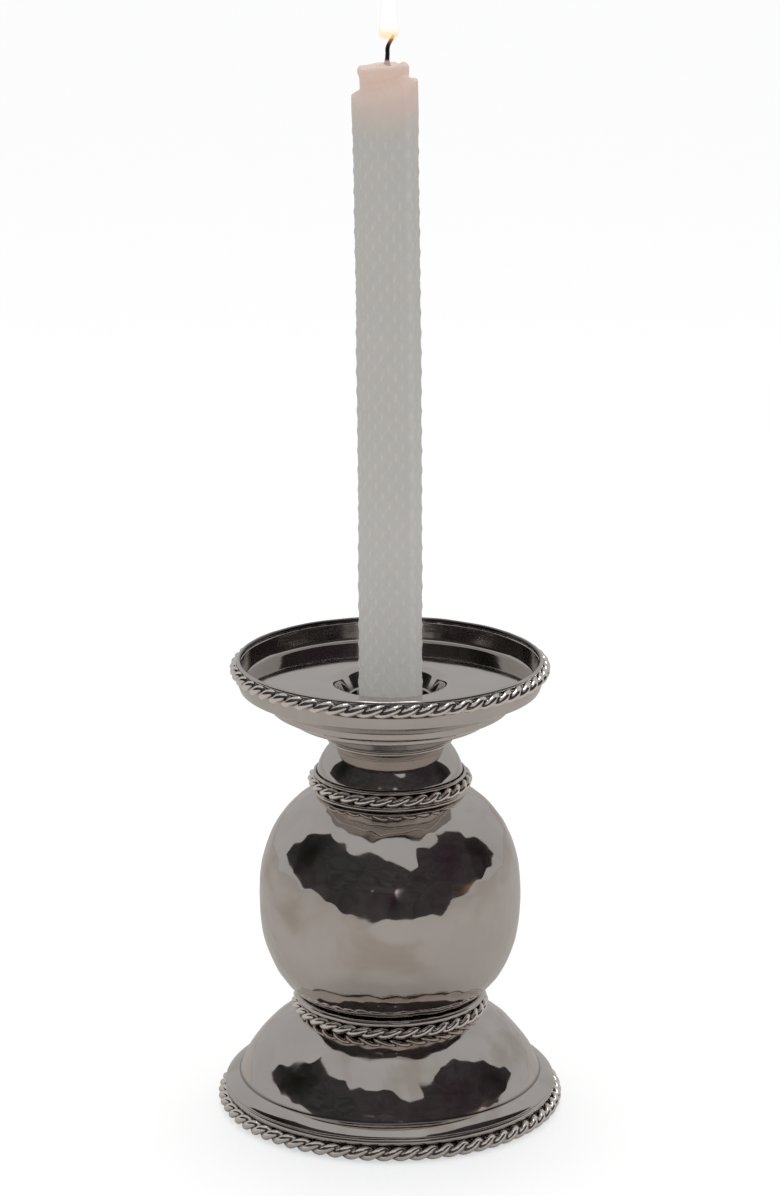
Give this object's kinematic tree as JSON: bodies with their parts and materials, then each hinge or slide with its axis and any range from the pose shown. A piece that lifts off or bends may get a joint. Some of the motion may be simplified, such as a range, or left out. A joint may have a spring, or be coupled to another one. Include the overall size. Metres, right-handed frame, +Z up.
{
  "type": "candlestick",
  "caption": "Silver candlestick with a hammered domed foot, a hammered ball, rope-wire borders and a drip pan that holds one taper candle.",
  "frame": {"origin": "centre of the felt pad's underside, on the table", "axes": "+Z up along the candlestick's axis, towards the candle's tip"},
  "size_m": [0.1174, 0.1174, 0.3645],
  "materials": {
    "silver": "polished silver plate",
    "hammered_silver": "polished silver plate with hammer marks",
    "steel": "plain",
    "wax": "rolled honeycomb wax, off-white",
    "wick": "charred braided cotton",
    "felt": "dark felt"
  },
  "bodies": {
    "holder": {"felt_pad": "felt", "base_cover_plate": "silver", "foot_rope_border": "silver", "foot_bead_wire": "silver", "foot_dome": "hammered_silver", "lower_collar_ring": "silver", "lower_collar_rope": "silver", "lower_collar_bead": "silver", "ball_lower_half": "hammered_silver", "ball_upper_half": "hammered_silver", "upper_collar_ring": "silver", "upper_collar_bottom_bead": "silver", "upper_collar_rope": "silver", "upper_collar_top_bead": "silver", "knop": "silver", "pan_neck": "silver", "pan_under_shell": "silver", "drip_tray": "silver", "pan_rope_border": "silver", "pan_lip_wire": "silver", "candle_socket": "silver", "tie_rod": "steel", "rod_nut": "steel", "rod_lock_washer": "steel", "rod_washer": "steel", "foot_clamp_disc": "steel", "lower_centring_disc": "steel", "upper_centring_disc": "steel"},
    "candle": {"candle": "wax", "wick": "wick"}
  },
  "joints": [
    {"name": "candle_lift", "type": "slide", "parent": "holder", "child": "candle", "axis": [0, 0, 1], "range_m": [0, 0.06]}
  ]
}
